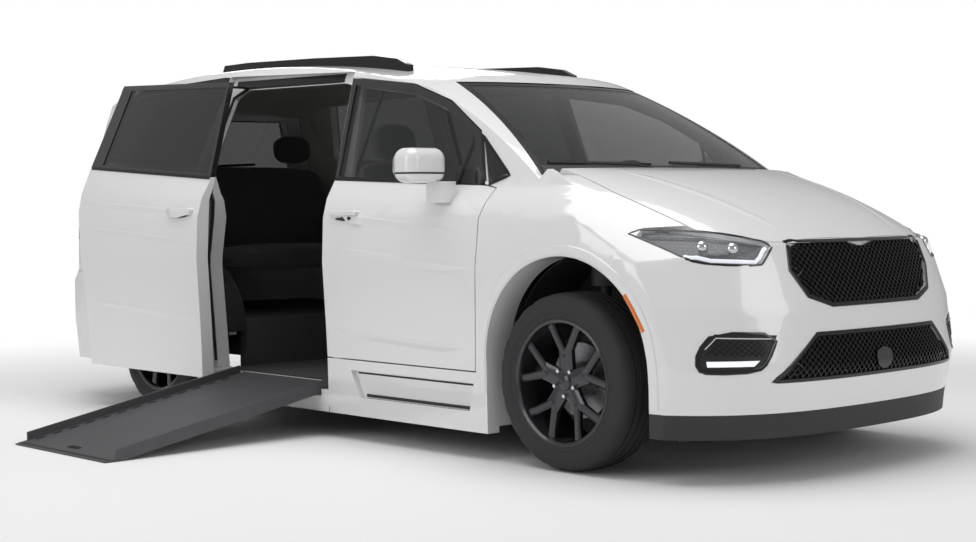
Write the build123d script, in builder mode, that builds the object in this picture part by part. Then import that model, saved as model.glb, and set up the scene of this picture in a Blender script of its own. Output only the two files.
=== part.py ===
from build123d import *
import math
import os

os.makedirs("parts", exist_ok=True)

# Wheelchair accessible van in millimetres: +X forward, +Y left, +Z up.
# The origin is on the ground, on the centreline, midway between the axles.

# Chassis
WHEELBASE = 3089.0
FRONT_AXLE = WHEELBASE / 2
REAR_AXLE = -WHEELBASE / 2
TRACK = 1735.0
TYRE_RADIUS = 376.5
TYRE_WIDTH = 245.0
RIM_RADIUS = 262.0
WHEEL_PLANE = TRACK / 2
KINGPIN_Y = 800.0

# Body shell
NOSE_X = 2475.0
TAIL_X = -2700.0
DOOR_THICK = 70.0
FRAME_THICK = 32.0
LAYER_GAP = 6.0
WALL_LOW = 150.0
WALL_HIGH = 60.0
ROOF_THICK = 45.0
GLASS_THICK = 5.0
GLASS_INSET = 5.0
SHUT_GAP = 6.0
SEAT_GAP = 0.3

# Heights
FLOOR_TOP = 250.0
FLOOR_THICK = 70.0
SKIRT_BOTTOM = 122.0
DOOR_BOTTOM = 392.0
SLIDER_BOTTOM = 236.0
ROOF_TOP = 1872.0

# Sliding door travel from shut to open
SLIDE_BACK = 885.0
SLIDE_OUT = 128.0

# Side stations across the van, one row each: half-width y, nose set-back, glass set-back,
# low tail set-in, high tail set-in, bonnet drop, cowl drop, header drop, roof drop.
ACROSS = [
    (0, 0, 0, 0, 0, 0, 0, 0, 0),
    (520, 45, 45, 25, 45, 20, 3, 28, 8),
    (820, 190, 120, 110, 215, 78, 8, 105, 45),
    (1040, 640, 220, 440, 560, 160, 60, 210, 120),
]

# Cross-sections along the van, one row each: x, half-width at sill, at waist, at belt,
# at roof rail, belt height, roof rail height.
ALONG = [
    (2560, 895, 925, 795, 640, 1195, 1728),
    (1540, 990, 1006, 862, 705, 1200, 1728),
    (200, 1000, 1011, 905, 742, 1232, 1730),
    (-1250, 998, 1011, 928, 745, 1330, 1768),
    (-2760, 905, 930, 838, 690, 1385, 1738),
]


def long_solid(skin=0.0, nose=0.0, tail=0.0, bottom=80.0):
    """The van's silhouette lofted from one side to the other; the arguments take it in."""
    rows = [(-r[0], *r[1:]) for r in reversed(ACROSS[1:])] + ACROSS
    with BuildPart() as silhouette:
        for y, nose_back, glass_back, tail_low, tail_high, hood_drop, cowl_drop, head_drop, roof_drop in rows:
            front = NOSE_X - nose - nose_back
            back_low = TAIL_X + tail + tail_low
            back_high = TAIL_X + tail + tail_high
            cowl = 1475.0 - glass_back
            header = 585.0 - glass_back
            with BuildSketch(Plane.XZ.offset(-y)):
                with BuildLine():
                    Polyline(
                        (front - 60, bottom),
                        (front - 42, 250),
                        (front, 455),
                        (front - 32, 700),
                        (front - 118, 962 - hood_drop * 0.6 - skin),
                    )
                    ThreePointArc(
                        (front - 118, 962 - hood_drop * 0.6 - skin),
                        ((front + cowl) / 2 - 20, 1168 - hood_drop * 0.9 - skin),
                        (cowl, 1280 - cowl_drop - skin),
                    )
                    Line((cowl, 1280 - cowl_drop - skin), (cowl - 30, 1238 - cowl_drop - skin))
                    ThreePointArc(
                        (cowl - 30, 1238 - cowl_drop - skin),
                        ((cowl + header) / 2, 1530 - (cowl_drop + head_drop) / 2 - skin),
                        (header, 1752 - head_drop - skin),
                    )
                    ThreePointArc(
                        (header, 1752 - head_drop - skin),
                        (-850, ROOF_TOP - roof_drop - skin),
                        (back_high + 260, 1788 - roof_drop - skin),
                    )
                    Polyline(
                        (back_high + 260, 1788 - roof_drop - skin),
                        (back_high + 160, 1745 - roof_drop - skin),
                        (back_high + 85, 1300),
                        (back_low + 62, 1000),
                        (back_low + 60, 760),
                        (back_low + 5, 690),
                        (back_low, 450),
                        (back_low + 60, bottom),
                        (front - 60, bottom),
                    )
                make_face()
        loft()
    return silhouette.part


def tail_sheet():
    """The rear window's sheet, bowed like the tail, from the belt to the roof."""
    rows = [(-r[0], *r[1:]) for r in reversed(ACROSS[1:])] + ACROSS
    with BuildPart() as sheet:
        for y, _, _, _, tail_high, *_ in rows:
            low = TAIL_X + tail_high + 85 + GLASS_INSET
            high = TAIL_X + tail_high + 160 + GLASS_INSET
            with BuildSketch(Plane.XZ.offset(-y)):
                with BuildLine():
                    Polyline((low, 1300), (high, 1745), (high + GLASS_THICK, 1745), (low + GLASS_THICK, 1300),
                             close=True)
                make_face()
        loft()
    return sheet.part


def side_solid(low=0.0, high=0.0, floor=80.0):
    """The van's cross-section lofted from tail to nose; low and high take the sides in."""
    with BuildPart() as section:
        for x, sill, waist, belt, rail, belt_z, rail_z in ALONG:
            s, w, b, r = sill - low, waist - low, belt - high, rail - high
            shoulder = ((w - 16 + b) / 2 + 14, (1062 + belt_z) / 2)
            right = [(s - 6, floor), (s, DOOR_BOTTOM), (w - 9, 525), (w, 850), (w - 16, 1062), shoulder,
                     (b, belt_z), (r, rail_z)]
            with BuildSketch(Plane.YZ.offset(x)):
                with BuildLine():
                    Polyline(*right)
                    ThreePointArc((r, rail_z), (r - 34, rail_z + 64), (r - 120, rail_z + 110))
                    Polyline((r - 120, rail_z + 110), (120 - r, rail_z + 110))
                    ThreePointArc((120 - r, rail_z + 110), (34 - r, rail_z + 64), (-r, rail_z))
                    Polyline(*[(-y, z) for y, z in reversed(right)])
                    Line((6 - s, floor), (s - 6, floor))
                make_face()
        loft()
    return section.part


def prism(points, plane, depth, grow=0.0):
    """A closed outline on a plane, larger all round by grow, carried through depth."""
    with BuildPart() as block:
        with BuildSketch(plane):
            with BuildLine():
                Polyline(*points, close=True)
            make_face()
            if grow:
                offset(amount=grow, kind=Kind.INTERSECTION)
        extrude(amount=depth)
    return block.part


def side_block(points, grow=0.0):
    """A side-view outline (x, z) carried through the right-hand half of the van."""
    return prism(points, Plane.XZ, 1300, grow)


def plan_block(points, low, high, grow=0.0):
    """A plan outline (x, y) carried from height low to height high."""
    return prism(points, Plane.XY.offset(low), high - low, grow)


def front_block(points, low, high, grow=0.0):
    """A front-view outline (y, z) carried from x low to x high."""
    return prism(points, Plane.YZ.offset(low), high - low, grow)


def box(x, y, z):
    """A block between two corners, given as (low, high) for each axis."""
    with BuildPart() as block:
        with Locations(((x[0] + x[1]) / 2, (y[0] + y[1]) / 2, (z[0] + z[1]) / 2)):
            Box(x[1] - x[0], y[1] - y[0], z[1] - z[0])
    return block.part


def axle_tube(x, z, radius, y):
    """A cylinder along Y between two values of y."""
    with BuildPart() as tube:
        with BuildSketch(Plane.XZ.offset(-y[0])):
            with Locations((x, z)):
                Circle(radius)
        extrude(amount=-(y[1] - y[0]))
    return tube.part


def both_sides(part):
    """The part and its mirror image across the centreline, as one compound."""
    return Compound(children=[part, mirror(part, about=Plane.XZ)])


def write(name, shape):
    shape.label = name
    export_step(shape, f"parts/{name}.step")


def both(part):
    """The part joined to its mirror image across the centreline."""
    return part + mirror(part, about=Plane.XZ)


def largest(part):
    """The biggest solid of a part, without slivers."""
    return part.solids().sort_by(SortBy.VOLUME)[-1]


def keep(*parts):
    """All solids of the given parts in one compound."""
    solids = []
    for part in parts:
        solids += part.solids()
    return Compound(children=solids)


# Side-view outlines, (x, z). The doors' shut lines and the window line share these points.
FRONT_DOOR = [(1040, DOOR_BOTTOM), (1068, 1190), (984, 1206), (890, 1450), (655, 1596),
              (372, 1690), (-105, 1748), (-44, 1246), (-6, DOOR_BOTTOM)]
SLIDER = [(-12, SLIDER_BOTTOM), (-12, DOOR_BOTTOM), (-50, 1246), (-114, 1775), (-1172, 1812),
          (-1222, 1340), (-1250, 1100), (-1165, 660), (-1125, SLIDER_BOTTOM)]
DOOR_GLASS = [(946, 1212), (-22, 1262), (-70, 1712), (359, 1658), (628, 1568), (852, 1436)]
TIP_GLASS = [(1004, 1217), (1112, 1254), (918, 1422)]
SLIDER_GLASS = [(-80, 1290), (-1110, 1356), (-1072, 1778), (-130, 1748)]
QUARTER_GLASS = [(-1262, 1366), (-2250, 1418), (-2105, 1750), (-1216, 1782)]
FRONT_OPENING = [(1000, 425), (1022, 1150), (860, 1420), (640, 1542), (365, 1640),
                 (-50, 1698), (30, 1240), (40, 425)]
SLIDER_OPENING = [(-52, FLOOR_TOP), (-90, 1246), (-150, 1718), (-200, 1730), (-1040, 1738),
                  (-1120, 1690), (-1150, 1330), (-1060, 1150), (-1090, 800), (-1050, FLOOR_TOP)]

outer = long_solid() & side_solid()
door_back = side_solid(low=DOOR_THICK, high=FRAME_THICK)
frame_face = side_solid(low=DOOR_THICK + LAYER_GAP, high=FRAME_THICK + LAYER_GAP)
cabin_void = long_solid(skin=ROOF_THICK, nose=60, tail=60, bottom=20) & side_solid(WALL_LOW, WALL_HIGH, 20)
glass_out = long_solid(skin=GLASS_INSET) & side_solid(GLASS_INSET, GLASS_INSET)
glass_in = (long_solid(skin=GLASS_INSET + GLASS_THICK)
            & side_solid(GLASS_INSET + GLASS_THICK, GLASS_INSET + GLASS_THICK))
pane = glass_out - glass_in
shell = outer - cabin_void
print("shell", shell.is_valid, len(shell.solids()), len(shell.faces()), flush=True)
right_half = box((-2900, 2700), (-1300, 0), (0, 2000))
skin_layer = outer - door_back

# Wheel arches, (x, z, radius), cut from the outside in to the wheelhouse's inner wall
ARCH_FRONT = (FRONT_AXLE + 18, 455, 450)
ARCH_REAR = (REAR_AXLE - 6, 415, 412)
WHEELHOUSE_Y = 515.0
HOUSE_REAR_Y = 700.0
# Engine mounts' inner faces
MOUNT_Y = 380.0


def arch(spec, depth, grow=0.0):
    """The space of one right-hand wheelhouse: round above, open below."""
    x, z, radius = spec
    with BuildPart() as space:
        with BuildSketch(Plane.XZ.offset(depth)):
            with Locations((x, z)):
                Circle(radius + grow)
            with Locations((x, z / 2 - 20)):
                Rectangle(2 * (radius + grow), z + 40)
        extrude(amount=1300 - depth)
    return space.part


front_arch = arch(ARCH_FRONT, WHEELHOUSE_Y)
rear_arch = arch(ARCH_REAR, HOUSE_REAR_Y)
arches = front_arch + rear_arch

# Front door. Its rear edge slants inwards, so that it swings clear of the sliding door.
SWING_BEVEL = math.radians(17)
WIDEST = 1011.0
REAR_EDGE = [(380, -6, 998), (880, -30, 1011), (1083, -38, 985), (1246, -44, 898), (1760, -106, 735)]
with BuildPart() as edge_cut:
    with BuildSketch(Plane.XZ.offset(WIDEST + 40)):
        with BuildLine():
            Polyline(*[(x - math.tan(SWING_BEVEL) * (WIDEST + 40 - y), z) for z, x, y in REAR_EDGE],
                     (-900, 1760), (-900, 380), close=True)
        make_face()
    extrude(amount=700, dir=(math.sin(SWING_BEVEL), math.cos(SWING_BEVEL), 0))
door_skin = skin_layer & right_half
front_door = (door_skin & side_block(FRONT_DOOR)) - edge_cut.part - side_block(DOOR_GLASS)
front_pane = pane & side_block(DOOR_GLASS)

# Sliding door, shut; the right-hand one stands open, back along its track
slider = (door_skin & side_block(SLIDER)) - side_block(SLIDER_GLASS)
slider_pane = pane & side_block(SLIDER_GLASS)

# Seams between the fixed panels, side view (x, z)
FENDER = [(1046, 392), (1074, 1192), (1180, 1262), (1300, 1400), (2000, 1400), (1990, 1012),
          (1962, 968), (1745, 880), (1700, 700), (1700, 150), (1046, 150)]
BUMPER = [(-1700, 235), (-1700, 742), (-3000, 742), (-3000, 235)]
SKIRT = [(0, 122), (0, 386), (1165, 386), (1165, 122)]
STEP_POCKET = [(170, 338), (1030, 338), (1000, 212), (235, 212)]
STEP_DEPTH = 26.0
SILL_COVER = [(-1120, 122), (-1120, 190), (-6, 190), (-6, 122)]
# Liftgate, rear view (y, z) and side view (x, z)
GATE = [(-600, 1900), (-640, 1700), (-745, 1320), (-770, 1000), (-770, 748), (770, 748), (770, 1000),
        (745, 1320), (640, 1700), (600, 1900)]
GATE_SIDE = [(-2442, 1900), (-2442, 1690), (-2250, 1600), (-2250, 748), (-2900, 748), (-2900, 1900)]
GATE_GLASS = [(-560, 1660), (-640, 1360), (640, 1360), (560, 1660)]
# Bonnet, plan view (x, y), right-hand half
HOOD_SIDE = [(1392, -520), (1345, -790), (1480, -784), (1690, -788), (1880, -768), (2070, -742),
             (2187, -647), (2288, -540), (2316, -470)]
HOOD_PLAN = [(1436, 0), *HOOD_SIDE, (2352, 0), *[(x, -y) for x, y in reversed(HOOD_SIDE)]]
# Openings in the nose and the windscreen, front view (y, z)
SCREEN = [(-835, 1246), (835, 1246), (632, 1700), (-632, 1700)]
LAMP = [(-930, 1018), (-890, 948), (-868, 896), (-802, 877), (-622, 869), (-596, 892), (-530, 975),
        (-647, 1010), (-743, 1030)]
FOG = [(-895, 470), (-890, 535), (-841, 607), (-617, 597), (-669, 497), (-707, 464), (-868, 459)]
UPPER_GRILLE = [(-462, 957), (-484, 850), (-430, 752), (-310, 713), (310, 713), (430, 752), (484, 850),
                (462, 957)]
LOWER_GRILLE = [(-416, 585), (-627, 419), (627, 419), (416, 585)]
AIR_DAM_TOP = 285.0
ROOF_SPLIT = 600.0
TAIL_LAMP = [(-2900, 1010), (-2900, 860), (-2560, 880), (-2330, 960), (-2350, 1040)]

hood_space = plan_block(HOOD_PLAN, 900, 1400)
gate_space = front_block(GATE, -2900, -2000) & both(side_block(GATE_SIDE))
roof_space = box((-2436, 700), (-ROOF_SPLIT, ROOF_SPLIT), (1600, 1900))
screen_space = front_block(SCREEN, 520, 1500)
lamp_space = front_block(LAMP, 1900, 2600)
fog_space = front_block(FOG, 2040, 2600)
tail_lamp_space = side_block(TAIL_LAMP) - box((-2900, -2000), (-640, 0), (800, 1100))

# Right-hand wall of the shell, and what is cut from it
wall = (shell & right_half) - arches - hood_space
fender = (wall & side_block(FENDER)) - screen_space - (side_block(SKIRT) - door_back)
fender = fender - lamp_space
skirt = (door_skin & (side_block(SKIRT) + side_block(SILL_COVER))) - arches
skirt = skirt - (side_block(STEP_POCKET) - side_solid(low=STEP_DEPTH))
bumper_half = (wall & side_block(BUMPER))
nose_half = (wall & box((1046, 2700), (-1300, 0), (0, 2000))) - side_block(FENDER) - lamp_space - fog_space
body_side = wall - box((1300, 2700), (-1300, 0), (0, 2000)) - side_block(FENDER)
body_side = body_side - roof_space - screen_space - gate_space - side_block(BUMPER)
for outline in (FRONT_DOOR, SLIDER):
    body_side = body_side - (side_block(outline, SHUT_GAP) - frame_face)
for outline in (FRONT_OPENING, SLIDER_OPENING, TIP_GLASS, QUARTER_GLASS):
    body_side = body_side - side_block(outline)
body_side = body_side - box((-3000, -1700), (-1300, 0), (0, 743))
for outline in (SKIRT, SILL_COVER):
    body_side = body_side - (side_block(outline) - door_back)
body_side = body_side - box((-1120, 1165), (-1300, 0), (0, 150)) - tail_lamp_space

# Panels that cross the centreline
roof_panel = (shell & roof_space) - screen_space - gate_space
hood_panel = shell & plan_block(HOOD_PLAN, 900, 1400, -SHUT_GAP)
gate_shut = front_block(GATE, -2900, -2000, -SHUT_GAP) & both(side_block(GATE_SIDE))
rear_window = front_block(GATE_GLASS, -2900, -2000)
gate_panel = (shell & gate_shut) - rear_window
nose = both(nose_half) & box((1700, 2700), (-1300, 1300), (185, 1300))
nose = nose - front_block(UPPER_GRILLE, 2000, 2600) - front_block(LOWER_GRILLE, 2000, 2600)
nose_low = box((1700, 2700), (-1300, 1300), (0, AIR_DAM_TOP))
air_dam = nose & nose_low
nose = nose - nose_low
recess = Location((-14, 0, 0))
upper_grille = (shell & front_block(UPPER_GRILLE, 2000, 2600) - hood_space).moved(recess) - hood_space
lower_grille = (shell & front_block(LOWER_GRILLE, 2000, 2600)).moved(recess)
headlamp = (shell & right_half & lamp_space)
fog_lamp = (shell & right_half & fog_space)
tail_lamp = (shell & right_half & tail_lamp_space) - gate_space
windscreen = pane & screen_space
rear_pane = tail_sheet() & rear_window

# Ramp, lying on the ground; it folds level about its barrel at the sill
RAMP_X = (-886, -71)
RAMP_HINGE = (-880, 238)
RAMP_END = -2187
RAMP_THICK = 22
BARREL = 12
ramp_slope = (RAMP_HINGE[1] + BARREL - 6) / (RAMP_HINGE[0] - RAMP_END)


def ramp_top(y):
    """Height of the ramp's upper face at a given y."""
    return RAMP_HINGE[1] + BARREL + (y - RAMP_HINGE[0]) * ramp_slope


def ramp_strip(x, y, rise, under):
    """A strip of the ramp between two x and two y, rise above and under below its face."""
    foot = max(ramp_top(y[1]) - under, 0.5)
    bend = min(-(RAMP_HINGE[1] + BARREL - under) / ramp_slope + RAMP_HINGE[0], y[0])
    bend = max(bend, y[1])
    points = [(y[0], ramp_top(y[0]) + rise), (y[1], ramp_top(y[1]) + rise), (y[1], foot)]
    if bend > y[1] + 1:
        points += [(bend, 0.5)]
    points += [(y[0], ramp_top(y[0]) - under)]
    return front_block(points, x[0], x[1])


barrel_x = (RAMP_X[0] + 12, RAMP_X[1] - 12)
with BuildPart() as barrel:
    with BuildSketch(Plane.YZ.offset(barrel_x[0])):
        with Locations(RAMP_HINGE):
            Circle(BARREL)
    extrude(amount=barrel_x[1] - barrel_x[0])
ramp = barrel.part + ramp_strip((barrel_x[0] + 6, barrel_x[1] - 6), (RAMP_HINGE[0], -905), 0, 20)
ramp = ramp + ramp_strip(RAMP_X, (-903, RAMP_END), 0, RAMP_THICK)
for x in (RAMP_X[0], RAMP_X[1] - 10):
    ramp = ramp + ramp_strip((x, x + 10), (-903, RAMP_END + 60), 38, RAMP_THICK)

# The ramp's notch in the right-hand sill
notch = box((barrel_x[0] - SEAT_GAP, barrel_x[1] + SEAT_GAP), (-900, -861), (196, 320))
notch = notch + box((RAMP_X[0] - 8, RAMP_X[1] + 8), (-1300, -897), (196, 320))


def leaf(x, z, reach=LAYER_GAP - SEAT_GAP):
    """A hinge leaf standing on the door frame's face, behind the door's inner face."""
    block = box((x - 15, x + 15), (-1300, 0), (z - 35, z + 35))
    skin = side_solid(low=DOOR_THICK + SEAT_GAP, high=FRAME_THICK + SEAT_GAP)
    return (block & skin) - frame_face


# Roller arms of a sliding door, one row each: x, bearing end y, z, height; each reaches into the door
ROLLER_ARMS = [(-45, -830, 262, 14), (-145, -640, 1744, 12)]
ARM_INTO_DOOR = {-830: -950, -640: -722}


def slider_arms(back, out):
    """The roller arms that carry a sliding door moved back and out from shut."""
    arms = []
    for x, y, z, height in ROLLER_ARMS:
        arm = box((x - 15 - back, x + 15 - back), (ARM_INTO_DOOR[y] - out, y), (z, z + height))
        arms.append(arm - frame_face)
    return arms


body_main = largest(body_side)
hinges = [leaf(1015, 560), leaf(1015, 1000)]
body_half = body_main
for hinge in hinges:
    body_half = body_half + hinge
# Jacking pad under the sill, standing just below the skirt
body_half = body_half + box((560, 640), (-922, -865), (SKIRT_BOTTOM - 4, 151))
body_right = body_half - notch
body_left = mirror(body_half, about=Plane.XZ)

# Handles
def handle(x, z):
    """A pull handle with rounded ends, standing on the door's skin."""
    with BuildPart() as grip:
        with BuildSketch(Plane.XZ.offset(970)):
            with Locations((x, z)):
                SlotOverall(210, 27)
        extrude(amount=43)
        fillet(grip.faces().sort_by(Axis.Y)[0].edges(), 8)
    return grip.part


front_door = largest(front_door) + handle(125, 1085)
slider = largest(slider) + handle(-195, 1100)

# Mirror on the front door
with BuildPart() as mirror_shell:
    with Locations((755, -1062, 1297)):
        Box(150, 226, 156)
    fillet(mirror_shell.edges(), 52)
mirror_arm = box((740, 850), (-1010, -930), (1130, 1225))
door_mirror = mirror_shell.part + (mirror_arm - side_solid(low=-1, high=-1))

# Structure behind the panels
floor = box((-1130, 1130), (-900, 900), (FLOOR_TOP - FLOOR_THICK, FLOOR_TOP))
floor = floor + box((-1190, -1130), (-900, 900), (FLOOR_TOP - FLOOR_THICK, 500))
floor = floor + box((-2620, -1130), (-900, 900), (440, 500))
rear_house = arch(ARCH_REAR, HOUSE_REAR_Y - 18, 18)
floor_pan = (floor & cabin_void) - both(rear_house) - both(front_arch)
rear_liner = (rear_house - rear_arch) & box((-2100, -1000), (-818, 0), (440, 1000))
front_liner = (arch(ARCH_FRONT, WHEELHOUSE_Y, 8) - front_arch) & box((1161, 2190), (-815, 0), (150, 1000))
front_liner = front_liner - box((1990, 2190), (-900, -782), (100, 470))
structure = box((1130, 1160), (-900, 900), (180, 1059)) + box((2200, 2240), (-700, 700), (330, 900))
for side in (-1, 1):
    rail_y = sorted((side * 430, side * 499))
    apron_y = sorted((side * 499, side * WHEELHOUSE_Y))
    structure = structure + box((1150, 2330), rail_y, (440, 560)) + box((1150, 2230), apron_y, (420, 1000))
    tower_y = sorted((side * (WHEELHOUSE_Y - 1), side * 775))
    structure = structure + box((FRONT_AXLE - 80, FRONT_AXLE + 80), tower_y, (880.3, 890))
structure = structure & cabin_void
structure = structure - both(arch(ARCH_FRONT, WHEELHOUSE_Y + 1, 8) - box((1400, 1700), (-800, 0), (870, 900)))
engine = box((1330, 1960), (-MOUNT_Y + SEAT_GAP, MOUNT_Y - SEAT_GAP), (330, 930))
DASH = [(1129.7, 640), (1129.7, 1060), (1380, 1060), (1380, 1120), (1100, 1172), (870, 1160), (800, 1085),
        (880, 900), (960, 640)]
dashboard = both(side_block(DASH)) & cabin_void
dashboard = dashboard & box((700, 1500), (-775, 775), (600, 1300))

# Lower arms and cross-member under the engine
with BuildPart() as arm:
    with BuildSketch(Plane.XY.offset(225)):
        with BuildLine():
            Polyline((FRONT_AXLE - 150, -400), (FRONT_AXLE + 110, -400), (FRONT_AXLE + 22, -KINGPIN_Y),
                     (FRONT_AXLE - 22, -KINGPIN_Y), close=True)
        make_face()
        with Locations((FRONT_AXLE, -KINGPIN_Y)):
            Circle(22)
    extrude(amount=25)
subframe = box((1380, 1680), (-420, 420), (222, 290)) + both(arm.part)
for side in (-1, 1):
    subframe = subframe + box((1420, 1640), sorted((side * MOUNT_Y, side * 432)), (289, 440 - SEAT_GAP))


# Wheel, built about its own centre with the street side towards +Y
with BuildPart() as tyre:
    with BuildSketch(Plane.YZ):
        with BuildLine():
            half = TYRE_WIDTH / 2
            side = [(half - 14, RIM_RADIUS - 5.5), (half, 310), (half - 14, 362), (half - 36, 373),
                    (half - 90, TYRE_RADIUS)]
            Polyline(*side, *[(-y, r) for y, r in reversed(side)], close=True)
        make_face()
    revolve(axis=Axis.Y)
with BuildSketch() as spoke:
    with BuildLine():
        Polyline((50, -30), (118, -30), (226, -96), (247, -62), (140, -9), (140, 9), (247, 62), (226, 96),
                 (118, 30), (50, 30), close=True)
    make_face()
with BuildPart() as rim:
    with BuildSketch(Plane.YZ):
        with BuildLine():
            Polyline((-118, 246), (118, 246), (118, 268), (112.5, 268), (109, 256.2), (-109, 256.2),
                     (-112.5, 268), (-118, 268), close=True)
        make_face()
    revolve(axis=Axis.Y)
    with BuildSketch(Plane.XZ.offset(-96)):
        with PolarLocations(0, 5, start_angle=90):
            add(spoke.sketch)
        Circle(66)
    extrude(amount=30)
    with BuildSketch(Plane.XZ.offset(-67)):
        Circle(80)
    extrude(amount=87)
    with BuildSketch(Plane.XZ.offset(16)):
        Circle(165)
    extrude(amount=24)

# Knuckle with its hub bearing, strut and caliper, left-hand, at the car's own place
HUB = (FRONT_AXLE, TYRE_RADIUS)


def hub_carrier(x, inner):
    """Bearing, spindle and brake caliper of a left-hand wheel."""
    bearing = axle_tube(x, TYRE_RADIUS, 48, (inner, 822)) + axle_tube(x, TYRE_RADIUS, 24, (800, 827.2))
    caliper = box((x + 105, x + 190), (800, 885), (TYRE_RADIUS - 20, TYRE_RADIUS + 105))
    caliper = caliper - axle_tube(x, TYRE_RADIUS, 172, (821.5, 858))
    bracket = box((x + 20, x + 120), (796, 812), (TYRE_RADIUS - 15, TYRE_RADIUS + 60))
    return bearing + bracket + caliper


knuckle = hub_carrier(FRONT_AXLE, 745)
knuckle = knuckle + box((FRONT_AXLE - 35, FRONT_AXLE + 35), (765, 815), (250.3, 560))
knuckle = knuckle + box((FRONT_AXLE - 30, FRONT_AXLE + 30), (680, 780), (500, 560))
with BuildPart() as strut:
    with BuildSketch(Plane.XY.offset(500)):
        with Locations((FRONT_AXLE, 700)):
            Circle(24)
    extrude(amount=380)
    with BuildSketch(Plane.XY.offset(772)):
        with Locations((FRONT_AXLE, 700)):
            Circle(62)
    extrude(amount=108)
knuckle = knuckle + strut.part
rear_carrier = hub_carrier(REAR_AXLE, 640) + box((-1600, -1500), (600, 700), (290, 400))
rear_carrier = rear_carrier + box((-1520, -1215), (600, 660), (300, 380))
rear_axle = both(rear_carrier) + axle_tube(-1580, 340, 40, (-650, 650))
rear_axle = rear_axle + both(box((-1255, -1215), (600, 660), (300, 440)))

# Seats
def seat(x, y, z, width, depth, height):
    """A cushion on its pedestal with a leaning back, centred on y."""
    cushion = box((x, x + depth), (y - width / 2, y + width / 2), (z + 230, z + 370))
    base = box((x + 60, x + depth - 80), (y - width / 3, y + width / 3), (z, z + 231))
    back = prism([(x + 60, z + 300), (x - 40, z + 300), (x - 200, z + height), (x - 100, z + height)],
                 Plane.XZ.offset(-(y + width / 2)), width)
    return cushion + base + back


front_seats = Compound(children=[seat(-60, y, FLOOR_TOP, 520, 520, 1090) for y in (-400, 400)])
rear_bench = seat(-1960, 0, 500, 1180, 500, 860)

# Steering wheel on its column
STEER_CENTRE = (640, 385, 1165)
STEER_TILT = 62
steer_plane = Plane(origin=STEER_CENTRE, x_dir=(0, 1, 0),
                    z_dir=(-math.sin(math.radians(STEER_TILT)), 0, math.cos(math.radians(STEER_TILT))))
with BuildPart() as steering_wheel:
    with BuildSketch(Plane(origin=steer_plane.origin, x_dir=steer_plane.x_dir, z_dir=steer_plane.y_dir)):
        with Locations((180, 0)):
            RegularPolygon(15, 8)
    revolve(axis=Axis(steer_plane.origin, steer_plane.z_dir))
    with BuildSketch(steer_plane.offset(-14)):
        Circle(60)
        with PolarLocations(0, 3, start_angle=-90):
            with Locations((115, 0)):
                Rectangle(140, 34)
    extrude(amount=20)
with BuildPart() as column:
    with BuildSketch(steer_plane.offset(-14.3)):
        Circle(32)
    extrude(amount=-240)
dashboard = dashboard - column.part
dashboard = keep(dashboard, column.part)

# Roof rails, lamps and small pieces
RAIL = [(150, 1760), (144, 1806), (60, 1842), (-117, 1868), (-608, 1888), (-1200, 1903), (-1420, 1900),
        (-1440, 1860), (-1440, 1780)]
roof_rail = prism(RAIL, Plane.XZ.offset(563), 36) - outer

# Write every node
arms_shut = slider_arms(0, 0)
slide = Location((-SLIDE_BACK, -SLIDE_OUT, 0))
slider_open = slider.moved(slide)
arms_open = slider_arms(SLIDE_BACK, SLIDE_OUT)
centre_arm = box((-2090, -2060), (-1085, -900), (1120, 1145)) - outer
for piece in arms_open + [centre_arm]:
    slider_open = slider_open + (piece - slider_open)
slider_left = slider
for piece in arms_shut:
    slider_left = slider_left + piece
left = lambda part: mirror(part, about=Plane.XZ)
pane_quarter = pane & (side_block(TIP_GLASS) + side_block(QUARTER_GLASS))
pane_quarter = pane_quarter & box((-2700, 1300), (-1300, -560), (1150, 1800))
write("bodyside_right", body_right)
write("bodyside_left", body_left)
write("roof_panel", largest(roof_panel))
cowl_space = box((1150, 1500), (-780, 780), (900, 1400))
write("cowl_panel", keep(both(fender & cowl_space)))
write("fenders", both_sides(largest(fender - cowl_space)))
write("front_fascia", keep(nose))
write("air_dam", keep(air_dam))
write("grilles", Compound(children=[upper_grille, lower_grille]))
write("headlamps", both_sides(largest(headlamp - hood_space)))
write("fog_lamps", both_sides(largest(fog_lamp)))
write("windshield", largest(windscreen))
write("quarter_glass", keep(pane_quarter, left(pane_quarter)))
write("rear_fascia", keep(both(bumper_half)))
write("tail_lamps", both_sides(largest(tail_lamp)))
write("roof_rails", both_sides(roof_rail))
write("side_skirts", keep(skirt, left(skirt)))
write("sliding_door_right", slider_open)
write("sliding_door_left", left(slider_left))
write("sliding_glass", Compound(children=[largest(slider_pane).moved(slide), left(largest(slider_pane))]))
write("floor_pan", keep(floor_pan))
write("wheel_liners", keep(rear_liner, left(rear_liner), front_liner, left(front_liner)))
write("front_structure", keep(structure))
write("engine_block", engine)
write("subframe", subframe)
write("rear_axle", rear_axle)
write("dashboard", dashboard)
write("front_seats", front_seats)
write("rear_bench", rear_bench)
write("hood_panel", largest(hood_panel))
write("liftgate_panel", largest(gate_panel))
write("liftgate_glass", rear_pane)
write("front_door_right", front_door)
write("front_door_left", left(front_door))
write("door_glass_right", largest(front_pane & box((-500, 1300), (-1300, -600), (1100, 1800))))
write("door_glass_left", left(largest(front_pane & box((-500, 1300), (-1300, -600), (1100, 1800)))))
write("mirror_right", door_mirror)
write("mirror_left", left(door_mirror))
write("knuckle_left", knuckle)
write("knuckle_right", left(knuckle))
write("steering_wheel", steering_wheel.part)
write("ramp", ramp)
for name, x, y in (("front_left", FRONT_AXLE, WHEEL_PLANE), ("rear_left", REAR_AXLE, WHEEL_PLANE)):
    place = Location((x, y, TYRE_RADIUS))
    write(f"tyre_{name}", tyre.part.moved(place))
    write(f"rim_{name}", rim.part.moved(place))
    other = name.replace("left", "right")
    write(f"tyre_{other}", left(tyre.part.moved(place)))
    write(f"rim_{other}", left(rim.part.moved(place)))
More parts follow.
